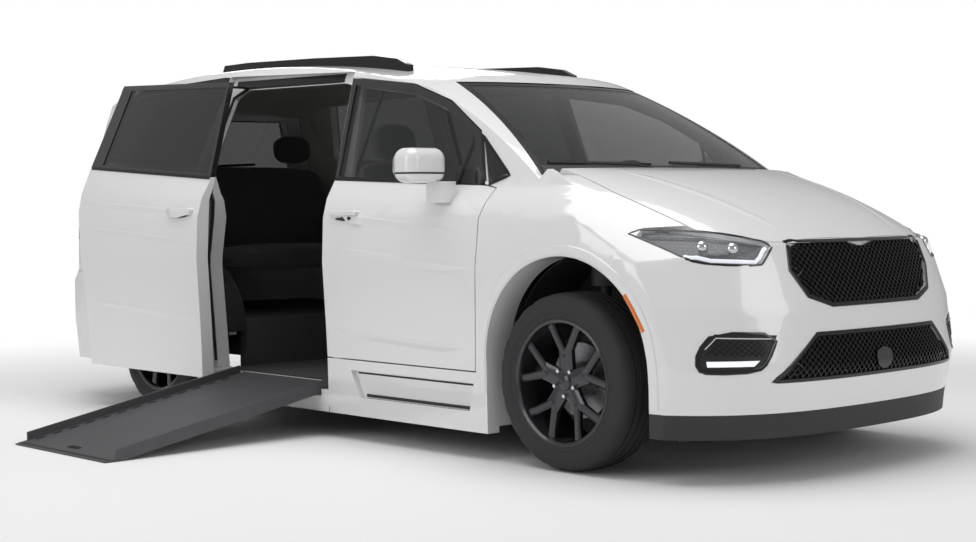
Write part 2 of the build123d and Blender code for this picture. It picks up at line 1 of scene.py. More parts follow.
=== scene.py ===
import bpy
import bmesh
import math
from mathutils import Matrix, Vector
from mathutils.bvhtree import BVHTree


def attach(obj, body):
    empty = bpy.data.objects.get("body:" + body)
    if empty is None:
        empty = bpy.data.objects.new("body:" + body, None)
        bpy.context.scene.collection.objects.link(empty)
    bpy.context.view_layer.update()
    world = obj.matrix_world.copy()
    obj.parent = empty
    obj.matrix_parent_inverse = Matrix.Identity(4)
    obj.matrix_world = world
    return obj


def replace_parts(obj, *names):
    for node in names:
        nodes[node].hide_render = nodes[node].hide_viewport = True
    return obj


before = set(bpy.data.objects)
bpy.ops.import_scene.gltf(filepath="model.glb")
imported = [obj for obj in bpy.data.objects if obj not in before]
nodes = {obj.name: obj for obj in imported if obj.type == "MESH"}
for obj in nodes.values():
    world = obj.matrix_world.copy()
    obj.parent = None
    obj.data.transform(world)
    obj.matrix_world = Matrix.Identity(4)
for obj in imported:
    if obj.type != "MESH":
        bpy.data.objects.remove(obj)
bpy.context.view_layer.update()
scene = bpy.context.scene
scene.view_settings.view_transform = "Standard"

# Camera
# It stands off the van's front right corner, a little below the belt, and looks slightly down.
camera_place = Vector((6.3896, -5.9679, 1.1357))
camera_yaw = math.radians(46.643)
camera_dip = math.radians(2.394)
camera_roll = math.radians(0.472)
lens_data = bpy.data.cameras.new("camera")
lens_data.sensor_width = 36.0
lens_data.lens = 61.71
lens_data.clip_end = 200
camera = bpy.data.objects.new("camera", lens_data)
scene.collection.objects.link(camera)
turn = Matrix.Rotation(camera_yaw, 4, "Z") @ Matrix.Rotation(math.pi / 2 - camera_dip, 4, "X")
camera.matrix_world = Matrix.Translation(camera_place) @ turn @ Matrix.Rotation(-camera_roll, 4, "Z")
scene.camera = camera

# Studio
# A pale floor in a bright, even room, with one large soft lamp overhead and smaller ones round it. Far
# from the van the floor fades into the room, for the camera alone.
FLOOR_REACH = 70.0
FADE_FROM = 3.2
FADE_TO = 6.5
ROOM_LEVEL = 0.36
floor_mesh = bpy.data.meshes.new("studio_floor")
floor_mesh.from_pydata([(-FLOOR_REACH, -FLOOR_REACH, 0), (FLOOR_REACH, -FLOOR_REACH, 0),
                        (FLOOR_REACH, FLOOR_REACH, 0), (-FLOOR_REACH, FLOOR_REACH, 0)], [], [(0, 1, 2, 3)])
floor = bpy.data.objects.new("studio_floor", floor_mesh)
scene.collection.objects.link(floor)


def new_material(name):
    """A node material: returns it, its tree and its Principled shader."""
    material = bpy.data.materials.new(name)
    material.use_nodes = True
    return material, material.node_tree, material.node_tree.nodes["Principled BSDF"]


def feed(tree, socket, value):
    """Gives a socket a plain value, or the output of another node."""
    if isinstance(value, bpy.types.NodeSocket):
        tree.links.new(value, socket)
    else:
        socket.default_value = value


def add(tree, kind, **inputs):
    """A shader node whose inputs, by name, are sockets or plain values."""
    node = tree.nodes.new("ShaderNode" + kind)
    for label, value in inputs.items():
        feed(tree, node.inputs[label.replace("_", " ")], value)
    return node


def sum_node(tree, operation, *values):
    """A maths node on sockets or plain numbers; returns its output."""
    node = tree.nodes.new("ShaderNodeMath")
    node.operation = operation
    for socket, value in zip(node.inputs, values):
        feed(tree, socket, value)
    return node.outputs[0]


floor_paint, tree, shader = new_material("studio_floor")
shader.inputs["Base Color"].default_value = (0.93, 0.93, 0.93, 1)
shader.inputs["Roughness"].default_value = 0.7
shader.inputs["Specular IOR Level"].default_value = 0.15
floor.data.materials.append(floor_paint)
reach = tree.nodes.new("ShaderNodeVectorMath")
reach.operation = "LENGTH"
tree.links.new(add(tree, "TexCoord").outputs["Object"], reach.inputs[0])
fade = add(tree, "MapRange", Value=reach.outputs["Value"], From_Min=FADE_FROM, From_Max=FADE_TO)
fade.interpolation_type = "SMOOTHSTEP"
seen = add(tree, "LightPath").outputs["Is Camera Ray"]
mixed = tree.nodes.new("ShaderNodeMixShader")
for socket, source in zip(mixed.inputs, (sum_node(tree, "MULTIPLY", fade.outputs["Result"], seen),
                                         shader.outputs[0], add(tree, "Emission").outputs[0])):
    tree.links.new(source, socket)
tree.links.new(mixed.outputs[0], tree.nodes["Material Output"].inputs["Surface"])

room = bpy.data.worlds.new("studio")
scene.world = room
room.use_nodes = True
tree = room.node_tree
background = tree.nodes["Background"]
background.inputs["Color"].default_value = (1, 1, 1, 1)
seen = add(tree, "LightPath").outputs["Is Camera Ray"]
feed(tree, background.inputs["Strength"], sum_node(tree, "MULTIPLY_ADD", seen, 1 - ROOM_LEVEL, ROOM_LEVEL))

# name, place, aim, size, watts
for name, place, aim, size, watts in [
        ("lamp_over", (0.5, -1.0, 7.0), (0, 0, 0.5), 7.0, 300),
        ("lamp_side", (-1.5, -9.0, 3.5), (-0.5, 0, 0.8), 5.0, 150),
        ("lamp_front", (9.5, 0.5, 3.5), (1.0, 0, 0.7), 4.5, 110),
        ("lamp_back", (-8.0, 5.0, 5.0), (-1.0, 0, 0.8), 5.0, 130)]:
    data = bpy.data.lights.new(name, "AREA")
    data.shape = "DISK"
    data.size = size
    data.energy = watts
    lamp = bpy.data.objects.new(name, data)
    scene.collection.objects.link(lamp)
    lamp.location = place
    lamp.rotation_euler = (Vector(aim) - Vector(place)).to_track_quat("-Z", "Y").to_euler()

# Painted body panels
# Pressed steel and moulded bumper covers in white enamel under clear lacquer. The cabin side of each
# panel carries grey trim, and the window frames of the doors are wrapped in gloss black.
WHITE = (0.80, 0.80, 0.805)
WHITE_SHADE = (0.792, 0.793, 0.80)
FRAME_BLACK = (0.013, 0.013, 0.014)
LOWER_TRIM = (0.075, 0.075, 0.078)
UPPER_TRIM = (0.56, 0.55, 0.52)
TRIM_CHANGE = 1.12
PANEL_CREASE = 48
# The foot of each door's black frame: its height at the middle of the van and its slope along it
BELT_FRONT = (1.2395, -0.036)
BELT_REAR = (1.268, -0.0625)
# How far back each sliding door stands
SLID = {"right": 0.885, "left": 0.0}


def new_group(name, takes, gives):
    """A shader node group on plain numbers: returns it with its input and output nodes."""
    group = bpy.data.node_groups.new(name, "ShaderNodeTree")
    for labels, way in ((takes, "INPUT"), (gives, "OUTPUT")):
        for label in labels:
            group.interface.new_socket(label, in_out=way, socket_type="NodeSocketFloat")
    return group, group.nodes.new("NodeGroupInput").outputs, group.nodes.new("NodeGroupOutput").inputs


grain, get, put = new_group("fine_grain", ["Scale"], ["Drift", "Height"])
where = add(grain, "TexCoord").outputs["Object"]
fine = add(grain, "TexNoise", Vector=where, Scale=get["Scale"], Detail=3.0)
broad = add(grain, "TexNoise", Vector=where, Scale=2.3)
feed(grain, put["Drift"], broad.outputs["Fac"])
feed(grain, put["Height"], fine.outputs["Fac"])

trim_masks, get, put = new_group("trim_masks", ["Level", "Slope", "Side", "Down"],
                                 ["Above Line", "Cabin Side", "High"])
where = add(trim_masks, "TexCoord")
spot = add(trim_masks, "SeparateXYZ", Vector=where.outputs["Object"]).outputs
facing = add(trim_masks, "SeparateXYZ", Vector=where.outputs["Normal"]).outputs
line = sum_node(trim_masks, "MULTIPLY_ADD", spot["X"], get["Slope"], get["Level"])
across = sum_node(trim_masks, "MULTIPLY", facing["Y"], get["Side"])
under = sum_node(trim_masks, "MULTIPLY", facing["Z"], get["Down"])
inward = sum_node(trim_masks, "MAXIMUM", across, under)
for label, value, limit in (("Above Line", spot["Z"], line), ("Cabin Side", inward, 0.45),
                            ("High", spot["Z"], TRIM_CHANGE)):
    feed(trim_masks, put[label], sum_node(trim_masks, "GREATER_THAN", value, limit))


def blend_colour(tree, factor, first, second):
    """Two colours, sockets or values, mixed by a mask; returns the mixed socket."""
    node = tree.nodes.new("ShaderNodeMix")
    node.data_type = "RGBA"
    for label, value in (("Factor", factor), ("A", first), ("B", second)):
        feed(tree, node.inputs[label], (*value, 1) if isinstance(value, tuple) else value)
    return node.outputs["Result"]


def place_group(tree, group, **levels):
    """A node group, placed in a material with levels of its own; returns its outputs."""
    node = tree.nodes.new("ShaderNodeGroup")
    node.node_tree = group
    for label, level in levels.items():
        node.inputs[label].default_value = level
    return node.outputs


def relief(tree, shader, height, strength, distance):
    """A bump from a height, given to the shader."""
    bump = add(tree, "Bump", Height=height, Strength=strength, Distance=distance)
    feed(tree, shader.inputs["Normal"], bump.outputs["Normal"])


def enamel(name, level=9.0, slope=0.0, side=0.0, down=0.0):
    """White lacquered enamel; black above a line, trim on the side that faces the cabin."""
    material, tree, shader = new_material(name)
    surface = place_group(tree, grain, Scale=900)
    masks = place_group(tree, trim_masks, Level=level, Slope=slope, Side=side, Down=down)
    colour = blend_colour(tree, surface["Drift"], WHITE, WHITE_SHADE)
    colour = blend_colour(tree, masks["Above Line"], colour, FRAME_BLACK)
    trim = blend_colour(tree, masks["High"], LOWER_TRIM, UPPER_TRIM)
    feed(tree, shader.inputs["Base Color"], blend_colour(tree, masks["Cabin Side"], colour, trim))
    rough = sum_node(tree, "MULTIPLY_ADD", masks["Cabin Side"], 0.45, 0.24)
    rough = sum_node(tree, "MULTIPLY_ADD", surface["Drift"], 0.015, rough)
    feed(tree, shader.inputs["Roughness"], rough)
    coat = sum_node(tree, "MULTIPLY_ADD", masks["Cabin Side"], -0.95, 1.0)
    feed(tree, shader.inputs["Coat Weight"], coat)
    shader.inputs["Coat Roughness"].default_value = 0.03
    relief(tree, shader, surface["Height"], 0.02, 0.0006)
    return material


def soften(mesh, crease):
    """Shades a mesh as one skin: faces that meet within the crease angle share their normals."""
    near = math.cos(math.radians(crease))
    meeting = {}
    keys = [tuple(round(value, 5) for value in corner.co) for corner in mesh.vertices]
    for face in mesh.polygons:
        for corner in face.vertices:
            meeting.setdefault(keys[corner], []).append((face.normal.copy(), face.area))
    normals = []
    for face in mesh.polygons:
        for corner in face.vertices:
            total = Vector((0, 0, 0))
            for normal, area in meeting[keys[corner]]:
                if normal.dot(face.normal) > near:
                    total += normal * area
            normals.append(total.normalized() if total.length > 0 else face.normal.copy())
    mesh.shade_smooth()
    mesh.normals_split_custom_set(normals)


def cover(material, *names, crease=24):
    """CAD nodes get one finish and are shaded smooth between their creases."""
    for name in names:
        node = nodes[name]
        for slot in node.material_slots:
            slot.material = material
        soften(node.data, crease)


open_level = BELT_REAR[0] + BELT_REAR[1] * SLID["right"]
for paint, names in (
        (enamel("enamel_panels"), ("fenders", "front_fascia", "rear_fascia", "hood_panel", "side_skirts",
                                   "cowl_panel", "mirror_right", "mirror_left")),
        (enamel("enamel_side_right", side=1.0, down=-1.0), ("bodyside_right",)),
        (enamel("enamel_side_left", side=-1.0, down=-1.0), ("bodyside_left",)),
        (enamel("enamel_roof", down=-1.0), ("roof_panel",)),
        (enamel("enamel_door_right", *BELT_FRONT, side=1.0), ("front_door_right",)),
        (enamel("enamel_door_left", *BELT_FRONT, side=-1.0), ("front_door_left",)),
        (enamel("enamel_slider_right", open_level, BELT_REAR[1], side=1.0), ("sliding_door_right",)),
        (enamel("enamel_slider_left", *BELT_REAR, side=-1.0), ("sliding_door_left",)),
        (enamel("enamel_gate"), ("liftgate_panel",))):
    cover(paint, *names, crease=PANEL_CREASE)

# Mouldings and grilles
# Injection-moulded black plastic: two lattices set back in the nose, each in a glossy frame, and the thin
# strips that line the windows and arches. Every strip lies on the skin that carries it.
UPPER_MOUTH = [(-0.462, 0.955), (-0.484, 0.850), (-0.430, 0.752), (-0.310, 0.713), (0.310, 0.713),
               (0.430, 0.752), (0.484, 0.850), (0.462, 0.955)]
LOWER_MOUTH = [(-0.416, 0.585), (-0.627, 0.419), (0.627, 0.419), (0.416, 0.585)]
BAR_LEAN = math.radians(42)
MOST_BARS = 60
SHORTEST_BAR = 0.012
SIDES = ("right", "left")
# Where each view's rays start: the axis that they run along and how far out
VIEWS = {"front": (0, 3.2), "rear": (0, -3.4), "right": (1, -1.6), "left": (1, 1.6), "top": (2, 2.4)}


def skin(*names):
    """The surface of some CAD nodes, ready to be touched by a ray."""
    points = []
    faces = []
    for name in names:
        mesh = nodes[name].data
        start = len(points)
        points += [corner.co.copy() for corner in mesh.vertices]
        faces += [[start + index for index in face.vertices] for face in mesh.polygons]
    return BVHTree.FromPolygons(points, faces)


def touch(surface, start, direction):
    """Where a ray meets a surface, and the normal that faces back along the ray."""
    direction = Vector(direction)
    place, normal, _, _ = surface.ray_cast(Vector(start), direction)
    if place is None:
        place, normal, _, _ = surface.find_nearest(Vector(start) + direction * 2)
    if normal.dot(direction) > 0:
        normal = -normal
    return place, normal


def spaced(points, step, closed=False):
    """A polyline's points, set out again about one step apart."""
    points = [Vector(point) for point in points]
    if closed:
        points.append(points[0])
    result = []
    for first, second in zip(points, points[1:]):
        count = max(1, round((second - first).length / step))
        result += [first.lerp(second, index / count) for index in range(count)]
    if not closed:
        result.append(points[-1])
    return result


def eased(points, closed=False, rounds=2):
    """A polyline with its corners cut, so that it runs round them."""
    points = [Vector(point) for point in points]
    for _ in range(rounds):
        pairs = list(zip(points, points[1:] + points[:1])) if closed else list(zip(points, points[1:]))
        cut = []
        for first, second in pairs:
            cut += [first.lerp(second, 0.25), first.lerp(second, 0.75)]
        points = cut if closed else [points[0], *cut[1:-1], points[-1]]
    return points


def laid(surface, points, view, step=0.03, closed=False):
    """Outline points seen from the front, side or top, laid on a surface: (place, normal) pairs."""
    axis, out = VIEWS[view]
    direction = [0, 0, 0]
    direction[axis] = -math.copysign(1, out)
    pairs = []
    for point in spaced([Vector((*point, 0)) for point in points], step, closed):
        start = [point.x, point.y]
        start.insert(axis, out)
        pairs.append(touch(surface, start, direction))
    return pairs


def lifted(run, amount):
    """A laid run, moved off its surface or into it."""
    return [(place + normal * amount, normal) for place, normal in run]


def grown(outline, amount):
    """A convex outline pushed outwards all round, so that it lies beside the opening."""
    corners = [Vector(corner) for corner in outline]
    centre = sum(corners, Vector((0, 0))) / len(corners)
    result = []
    for before, here, after in zip(corners[-1:] + corners[:-1], corners, corners[1:] + corners[:1]):
        sides = []
        for edge in ((here - before).normalized(), (after - here).normalized()):
            normal = Vector((-edge.y, edge.x))
            sides.append(normal if normal.dot(here - centre) > 0 else -normal)
        middle = (sides[0] + sides[1]).normalized()
        result.append(here + middle * amount / max(0.5, middle.dot(sides[0])))
    return [tuple(corner) for corner in result]


def swept(points, faces, pairs, section, closed=False, taper=0.0):
    """Adds a strip with a small cross-section (across, out) along laid pairs; open ends may taper."""
    count = len(pairs)
    width = len(section)
    start = len(points)
    for index, (place, normal) in enumerate(pairs):
        share = 1.0
        if taper:
            reach = min((place - pairs[0][0]).length, (place - pairs[-1][0]).length) / taper
            share = max(0.02, min(1.0, reach))
        before = pairs[index - 1 if index or closed else 0][0]
        after = pairs[(index + 1) % count if index + 1 < count or closed else index][0]
        ahead = after - before
        if ahead.length < 1e-6:
            ahead = Vector((0, 0, 1))
        across = ahead.normalized().cross(normal).normalized()
        points += [place + across * side * share + normal * (out * share) for side, out in section]
    for index in range(count if closed else count - 1):
        here = start + index * width
        there = start + ((index + 1) % count) * width
        for step in range(width):
            other = (step + 1) % width
            faces.append((here + step, here + other, there + other, there + step))
    if not closed:
        faces.append(tuple(start + step for step in reversed(range(width))))
        faces.append(tuple(start + (count - 1) * width + step for step in range(width)))


def piece(name, points, faces, material, body="root", slot=None, sharp=35):
    """A new piece from points and faces, with its finish, riding on a body."""
    mesh = bpy.data.meshes.new(name)
    mesh.from_pydata([tuple(point) for point in points], [], faces)
    mesh.validate()
    solid = bmesh.new()
    solid.from_mesh(mesh)
    bmesh.ops.recalc_face_normals(solid, faces=solid.faces)
    solid.to_mesh(mesh)
    solid.free()
    mesh.materials.append(material)
    mesh.shade_smooth()
    mesh.set_sharp_from_angle(angle=math.radians(sharp))
    made = bpy.data.objects.new(name, mesh)
    scene.collection.objects.link(made)
    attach(made, body)
    return made


def moulding(name, run, section, material, body, closed):
    """One run with one cross-section, made a piece."""
    points = []
    faces = []
    swept(points, faces, run, section, closed)
    return piece(name, points, faces, material, body)


def strip(name, run, width, height, material, body="root", closed=False, sink=0.002):
    """A moulding with a domed section along a laid run."""
    half = width / 2
    section = [(-half, -sink), (-half * 0.8, height * 0.7), (0, height), (half * 0.8, height * 0.7),
               (half, -sink)]
    return moulding(name, run, section, material, body, closed)


def finish(name, colour, shade, scale, rough, bump=None, **levels):
    """A material that drifts between two shades. A pair for its roughness is a spread along the grain and
    the low end, a pair for its bump is strength and depth, and other levels go to the shader by name."""
    material, tree, shader = new_material(name)
    surface = place_group(tree, grain, Scale=scale)
    feed(tree, shader.inputs["Base Color"], blend_colour(tree, surface["Drift"], colour, shade))
    if isinstance(rough, tuple):
        rough = sum_node(tree, "MULTIPLY_ADD", surface["Height"], *rough)
    feed(tree, shader.inputs["Roughness"], rough)
    if bump:
        relief(tree, shader, surface["Height"], *bump)
    for label, level in levels.items():
        shader.inputs[label.replace("_", " ")].default_value = level
    return material


def plastic(name, colour, shade, roughness, spread, scale, bump):
    """Grained plastic, rubber or coating: two shades, a roughness range and a fine relief."""
    return finish(name, colour, shade, scale, (spread * 2, roughness - spread), (bump, 0.0006))


gloss_black = plastic("gloss_black", (0.010, 0.010, 0.011), (0.016, 0.016, 0.017), 0.12, 0.04, 400, 0.02)
grained_black = plastic("grained_black", (0.020, 0.020, 0.021), (0.030, 0.030, 0.031), 0.55, 0.1, 700, 0.3)
cover(grained_black, "air_dam", "wheel_liners")
cover(plastic("grille_backing", (0.006, 0.006, 0.006), (0.012, 0.012, 0.012), 0.8, 0.1, 300, 0.2), "grilles")
cover(gloss_black, "roof_rails")
nose_skin = skin("front_fascia", "headlamps", "fog_lamps", "fenders", "hood_panel")
grille_skin = skin("grilles")


def clipped(outline, anchor, heading):
    """How far a line runs inside a convex outline, as two distances from its anchor."""
    low, high = -9.0, 9.0
    centre = sum((Vector(corner) for corner in outline), Vector((0, 0))) / len(outline)
    for first, second in zip(outline, outline[1:] + outline[:1]):
        edge = Vector(second) - Vector(first)
        normal = Vector((-edge.y, edge.x))
        if normal.dot(centre - Vector(first)) < 0:
            normal = -normal
        along = normal.dot(heading)
        offset = normal.dot(anchor - Vector(first))
        if abs(along) < 1e-9:
            if offset < 0:
                return None
            continue
        reach = -offset / along
        if along > 0:
            low = max(low, reach)
        else:
            high = min(high, reach)
    return (low, high) if high - low > SHORTEST_BAR else None


def lattice(name, surface, outline, pitch, bar, rise):
    """Crossing bars, a pitch apart, laid over a surface inside an outline."""
    points = []
    faces = []
    centre = sum((Vector(corner) for corner in outline), Vector((0, 0))) / len(outline)
    section = [(-bar / 2, 0.001), (-bar / 4, rise), (bar / 4, rise), (bar / 2, 0.001)]
    for turn in (-1, 1):
        heading = Vector((math.cos(BAR_LEAN), turn * math.sin(BAR_LEAN)))
        step = Vector((-heading.y, heading.x)) * pitch
        for index in range(-MOST_BARS, MOST_BARS + 1):
            anchor = centre + step * (index + 0.5)
            span = clipped(outline, anchor, heading)
            if span:
                run = laid(surface, [anchor + heading * end for end in span], "front")
                swept(points, faces, run, section)
    return piece(name, points, faces, gloss_black)


for level, mouth in (("upper", UPPER_MOUTH), ("lower", LOWER_MOUTH)):
    lattice(level + "_grille_mesh", grille_skin, mouth, 0.021, 0.006, 0.010)
for level, mouth, width in (("upper", UPPER_MOUTH, 0.020), ("lower", LOWER_MOUTH, 0.018)):
    strip(level + "_grille_frame", laid(nose_skin, grown(mouth, 0.008), "front", 0.02, True), width, 0.004,
          gloss_black, closed=True)

# Distance sensor
# A smooth blank cover in the middle of the lower grille.
SENSOR = [(-0.052, 0.432), (0.052, 0.432), (0.060, 0.515), (-0.060, 0.515)]


def patch(surface, outline, view, rows, columns, lift):
    """A skin over a convex outline, lifted off a surface: points and faces."""
    levels = [corner[1] for corner in outline]
    low, high = min(levels) + 1e-5, max(levels) - 1e-5
    points = []
    for row in range(rows + 1):
        level = low + (high - low) * row / rows
        span = clipped(outline, Vector((0, level)), Vector((1, 0)))
        if span is None:
            middle = [corner[0] for corner in outline if abs(corner[1] - level) < 0.01]
            span = (sum(middle) / len(middle), sum(middle) / len(middle) + 1e-4)
        for column in range(columns + 1):
            side = span[0] + (span[1] - span[0]) * column / columns
            place, normal = laid(surface, [(side, level)], view)[0]
            points.append(place + normal * lift)
    wide = columns + 1
    faces = [(row * wide + column, row * wide + column + 1, (row + 1) * wide + column + 1,
              (row + 1) * wide + column) for row in range(rows) for column in range(columns)]
    return points, faces


piece("sensor_cover", *patch(grille_skin, eased(SENSOR, True), "front", 6, 8, 0.016),
      plastic("sensor_plastic", (0.035, 0.035, 0.037), (0.045, 0.045, 0.047), 0.35, 0.05, 500, 0.05))

# Headlamps
# A clear lens over a dark housing, with a white light guide along its lower and inner edges and two bright
# lens barrels behind. Each is bedded in a thin black gasket.
LAMP = [(-0.925, 1.017), (-0.890, 0.948), (-0.868, 0.896), (-0.802, 0.877), (-0.622, 0.869),
        (-0.596, 0.892), (-0.536, 0.958), (-0.647, 0.992), (-0.743, 1.010)]
GUIDE = [(-0.862, 0.918), (-0.795, 0.896), (-0.632, 0.888), (-0.610, 0.905), (-0.572, 0.948)]
GUIDE_TOP = [(-0.880, 0.995), (-0.745, 0.990), (-0.650, 0.975), (-0.590, 0.962)]
GUIDE_DEPTH = 0.012
BARRELS = [(-0.775, 0.945), (-0.690, 0.937)]
BARREL_RADIUS = 0.026
BARREL_DEPTH = Vector((0.030, 0, 0))


def clear_pane(name, tint, opacity):
    """Thin clear or tinted sheet: its tint and how much it hides."""
    material, tree, shader = new_material(name)
    drift = place_group(tree, grain, Scale=3)["Drift"]
    feed(tree, shader.inputs["Alpha"], sum_node(tree, "MULTIPLY_ADD", drift, 0.03, opacity))
    for label, level in (("Base Color", (*tint, 1)), ("Roughness", 0.02), ("Coat Weight", 1.0),
                         ("Coat Roughness", 0.01)):
        shader.inputs[label].default_value = level
    return material


def mirrored(points):
    """The same outline on the other side of the van."""
    return [(-across, height) for across, height in points]


def dome(centre, radius, turns=24, rings=8):
    """Half a ball that faces forward: points and faces."""
    points = []
    faces = []
    for ring in range(rings + 1):
        angle = math.pi / 2 * ring / rings
        for turn in range(turns):
            around = math.tau * turn / turns
            points.append(centre + radius * Vector((math.cos(angle), math.sin(angle) * math.cos(around),
                                                    math.sin(angle) * math.sin(around))))
    for ring in range(rings):
        for turn in range(turns):
            here = ring * turns + turn
            after = ring * turns + (turn + 1) % turns
            faces.append((here, after, after + turns, here + turns))
    return points, faces


cover(clear_pane("lamp_lens", (0.55, 0.57, 0.6), 0.12), "headlamps")
lamp_dark = plastic("lamp_housing", (0.03, 0.03, 0.033), (0.07, 0.07, 0.075), 0.25, 0.08, 60, 0.1)
light_guide = finish("light_guide", (0.95, 0.97, 1.0), (0.85, 0.9, 0.98), 40, 0.5,
                     Emission_Color=(0.93, 0.96, 1.0, 1), Emission_Strength=0.35)
chrome = finish("bright_chrome", (0.75, 0.76, 0.78), (0.65, 0.66, 0.68), 200, 0.12, Metallic=1.0)
lens_skin = skin("headlamps")
for side, turned in (("right", list), ("left", mirrored)):
    piece("headlamp_housing_" + side, *patch(lens_skin, turned(LAMP), "front", 12, 24, -0.020), lamp_dark)
    for name, outline, width, height, material in (("guide", GUIDE, 0.017, 0.005, light_guide),
                                                   ("guide_top", GUIDE_TOP, 0.006, 0.003, chrome)):
        run = laid(lens_skin, turned(outline), "front", 0.015)
        strip(f"headlamp_{name}_{side}", lifted(run, -GUIDE_DEPTH), width, height, material)
    strip("headlamp_gasket_" + side, laid(nose_skin, eased(turned(LAMP), True, 1), "front", 0.015, True),
          0.010, 0.0015, gloss_black, closed=True)
    for number, barrel in enumerate(turned(BARRELS)):
        place = laid(lens_skin, [barrel], "front")[0][0]
        piece(f"headlamp_barrel_{side}_{number}", *dome(place - BARREL_DEPTH, BARREL_RADIUS), chrome)

# Fog lamps
# A glossy bezel in the corner of the bumper with a bright upper edge, a lattice and a clear lower band.
FOG = [(-0.890, 0.472), (-0.885, 0.535), (-0.841, 0.603), (-0.622, 0.593), (-0.672, 0.497), (-0.710, 0.466),
       (-0.865, 0.461)]
FOG_EDGE = [(-0.872, 0.548), (-0.838, 0.592), (-0.645, 0.584)]
FOG_MESH = [(-0.870, 0.525), (-0.835, 0.586), (-0.645, 0.577), (-0.680, 0.515)]
FOG_BAND = [(-0.870, 0.478), (-0.722, 0.478), (-0.698, 0.500), (-0.871, 0.500)]
cover(plastic("fog_pocket", (0.008, 0.008, 0.009), (0.014, 0.014, 0.015), 0.5, 0.1, 300, 0.1), "fog_lamps")
for side, turned in (("right", list), ("left", mirrored)):
    bezel = eased(grown(turned(FOG), 0.006), True, 1)
    strip("fog_bezel_" + side, laid(nose_skin, bezel, "front", 0.015, True), 0.020, 0.004, gloss_black,
          closed=True)
    accent = lifted(laid(nose_skin, turned(FOG_EDGE), "front", 0.015), 0.003)
    strip("fog_accent_" + side, accent, 0.006, 0.003, chrome)
    lattice("fog_mesh_" + side, nose_skin, turned(FOG_MESH), 0.016, 0.004, 0.004)
    piece("fog_light_" + side, *patch(nose_skin, turned(FOG_BAND), "front", 4, 12, 0.003), light_guide)

# Glazing
# Laminated windscreen, lightly tinted front door glass and dark privacy glass behind. The fixed panes are
# bonded in black borders, and glossy black mouldings close the belt line.
SCREEN = [(-0.828, 1.250), (0.828, 1.250), (0.626, 1.694), (-0.626, 1.694)]
TIP = [(1.000, 1.219), (1.104, 1.253), (0.920, 1.414)]
QUARTER = [(-1.262, 1.366), (-2.250, 1.418), (-2.105, 1.750), (-1.216, 1.782)]
DOOR_BELT = [(0.972, 1.212), (-0.044, 1.252)]
SLIDER_BELT = [(-0.055, 1.268), (-1.205, 1.340)]
cover(clear_pane("screen_glass", (0.010, 0.012, 0.012), 0.50), "windshield")
cover(clear_pane("front_door_glass", (0.012, 0.014, 0.014), 0.40), "door_glass_right", "door_glass_left")
cover(clear_pane("privacy_glass", (0.010, 0.011, 0.012), 0.74), "quarter_glass", "sliding_glass",
      "liftgate_glass")
screen_skin = skin("windshield")


def band(name, run, width, lift, material, body="root", closed=False):
    """A flat band of even width that lies on a surface along a laid run."""
    half = width / 2
    section = [(-half, -0.001), (-half, lift), (half, lift), (half, -0.001)]
    return moulding(name, run, section, material, body, closed)


def slid(line, side):
    """A side-view line on a sliding door, moved to where the door stands."""
    return [(x - SLID[side], z) for x, z in line]


band("windscreen_border", laid(screen_skin, SCREEN, "front", 0.02, True), 0.062, 0.0012, gloss_black,
     closed=True)
for side in SIDES:
    fixed_skin = skin("bodyside_" + side, "fenders", "quarter_glass")
    band("corner_window_frame_" + side, laid(fixed_skin, grown(TIP, 0.012), side, 0.02, True), 0.016, 0.003,
         gloss_black, closed=True)
    band("rear_window_frame_" + side, laid(fixed_skin, grown(QUARTER, 0.020), side, 0.03, True), 0.034, 0.003,
         gloss_black, closed=True)
    strip("door_belt_" + side, laid(skin("front_door_" + side), DOOR_BELT, side, 0.05), 0.020, 0.005,
          gloss_black, "front_door_" + side)
    strip("slider_belt_" + side, laid(skin("sliding_door_" + side), slid(SLIDER_BELT, side), side, 0.05),
          0.020, 0.005, gloss_black)

# Body side lines
# The pressed edges that run along the doors and the bonnet and the rolled lips of the wheel arches, in the
# same enamel as the panels that carry them, and an amber marker lens behind each front lamp.
DOOR_LINES = [[(0.99, 1.000), (0.60, 1.038), (0.20, 1.068), (-0.02, 1.080)],
              [(1.02, 0.845), (0.60, 0.876), (0.20, 0.910), (-0.02, 0.926)],
              [(0.98, 0.484), (0.60, 0.498), (0.20, 0.522), (-0.005, 0.536)]]
SLIDER_LINES = [[(-0.05, 1.088), (-0.60, 1.120), (-1.215, 1.150)],
                [(-0.04, 0.932), (-0.60, 0.975), (-1.19, 1.010)],
                [(-0.03, 0.540), (-0.60, 0.575), (-1.13, 0.600)]]
HOOD_LINE = [(1.47, 0.560), (1.80, 0.520), (2.10, 0.455), (2.28, 0.400)]
RIDGE = [(-0.036, -0.0010), (-0.018, 0.0010), (-0.005, 0.0030), (0.000, 0.0034), (0.004, 0.0022),
         (0.008, -0.0010)]
HOOD_RIDGE = [(-0.030, -0.001), (-0.012, 0.0022), (0.0, 0.0036), (0.012, 0.0022), (0.030, -0.001)]
RIDGE_TAPER = 0.16
# Each arch's middle (x, z) and the radius of its lip's middle
ARCHES = {"front": (1.5625, 0.455, 0.476), "rear": (-1.5505, 0.415, 0.438)}
ARCH_FOOT = 0.30
MARKER = [(1.912, 0.757), (1.948, 0.705), (1.978, 0.655), (2.003, 0.612)]
enamel_lines = enamel("enamel_lines")


def ridges(name, surface, lines, view, section, body="root"):
    """Pressed edges along a view's lines, raised from the panel that carries them."""
    points = []
    faces = []
    for line in lines:
        swept(points, faces, laid(surface, line, view, 0.04), section, taper=RIDGE_TAPER)
    return piece(name, points, faces, enamel_lines, body, sharp=60)


